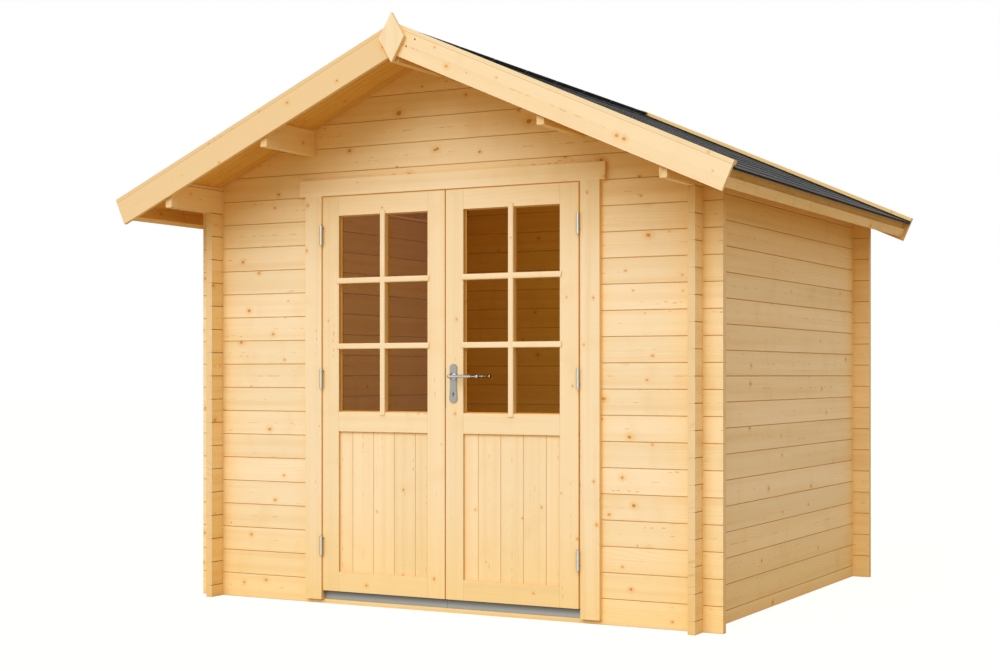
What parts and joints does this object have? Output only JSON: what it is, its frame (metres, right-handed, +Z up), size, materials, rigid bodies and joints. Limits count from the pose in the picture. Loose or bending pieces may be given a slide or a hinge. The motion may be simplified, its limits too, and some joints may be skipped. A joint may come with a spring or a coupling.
{
  "type": "garden shed",
  "caption": "Garden shed of crossed spruce logs with a gable roof, dark roof covering and a pair of half-glazed doors that open outwards.",
  "frame": {"origin": "under the middle of the whole shed, at the level that the logs stand on", "axes": "+Z up; the doors face -Y; +X is to the right for someone facing the doors"},
  "size_m": [3.1426, 2.79, 2.67],
  "materials": {
    "log_spruce": "planed, untreated, matt",
    "roof_board_spruce": "planed, untreated, matt",
    "planed_spruce": "planed, untreated, matt",
    "door_spruce": "planed, untreated, satin",
    "door_panel_spruce": "planed, untreated, satin",
    "roof_covering": "mineral faced, matt",
    "window_glass": "clear, glossy",
    "hinge_steel": "zinc plated, satin",
    "handle_alloy": "satin",
    "threshold_alloy": "mill finish, satin"
  },
  "bodies": {
    "cabin": {"front_wall_left": "log_spruce", "front_wall_right": "log_spruce", "front_gable": "log_spruce", "rear_wall": "log_spruce", "left_wall": "log_spruce", "right_wall": "log_spruce", "left_eave_log": "log_spruce", "right_eave_log": "log_spruce", "ridge_purlin": "log_spruce", "left_purlin": "log_spruce", "right_purlin": "log_spruce", "left_roof_boards": "roof_board_spruce", "right_roof_boards": "roof_board_spruce", "left_covering": "roof_covering", "right_covering": "roof_covering", "left_front_bargeboard": "planed_spruce", "right_front_bargeboard": "planed_spruce", "left_rear_bargeboard": "planed_spruce", "right_rear_bargeboard": "planed_spruce", "left_front_cap_strip": "planed_spruce", "right_front_cap_strip": "planed_spruce", "left_rear_cap_strip": "planed_spruce", "right_rear_cap_strip": "planed_spruce", "finial": "planed_spruce", "left_eave_fascia": "planed_spruce", "right_eave_fascia": "planed_spruce", "left_jamb": "planed_spruce", "right_jamb": "planed_spruce", "door_head": "planed_spruce", "door_sill": "planed_spruce", "threshold": "threshold_alloy", "left_casing": "planed_spruce", "right_casing": "planed_spruce", "lintel_board": "planed_spruce", "frame_hinges": "hinge_steel"},
    "left_leaf": {"left_leaf_frame": "door_spruce", "left_leaf_panel": "door_panel_spruce", "left_glass": "window_glass", "left_leaf_hinges": "hinge_steel"},
    "right_leaf": {"right_leaf_frame": "door_spruce", "right_leaf_panel": "door_panel_spruce", "right_glass": "window_glass", "right_leaf_hinges": "hinge_steel", "handle_plates": "handle_alloy"},
    "lever": {"lever_handle": "handle_alloy"}
  },
  "joints": [
    {"name": "left_door", "type": "hinge", "parent": "cabin", "child": "left_leaf", "pos_m": [-0.644, -0.9925, 1], "axis": [0, 0, -1], "range_deg": [0, 110]},
    {"name": "right_door", "type": "hinge", "parent": "cabin", "child": "right_leaf", "pos_m": [0.708, -0.9925, 1], "axis": [0, 0, 1], "range_deg": [0, 110]},
    {"name": "lever_turn", "type": "hinge", "parent": "right_leaf", "child": "lever", "pos_m": [0.0755, -0.979, 1.081], "axis": [0, 1, 0], "range_deg": [0, 35], "stiffness_Nm_per_rad": 0.8, "springref_deg": -45.84}
  ]
}
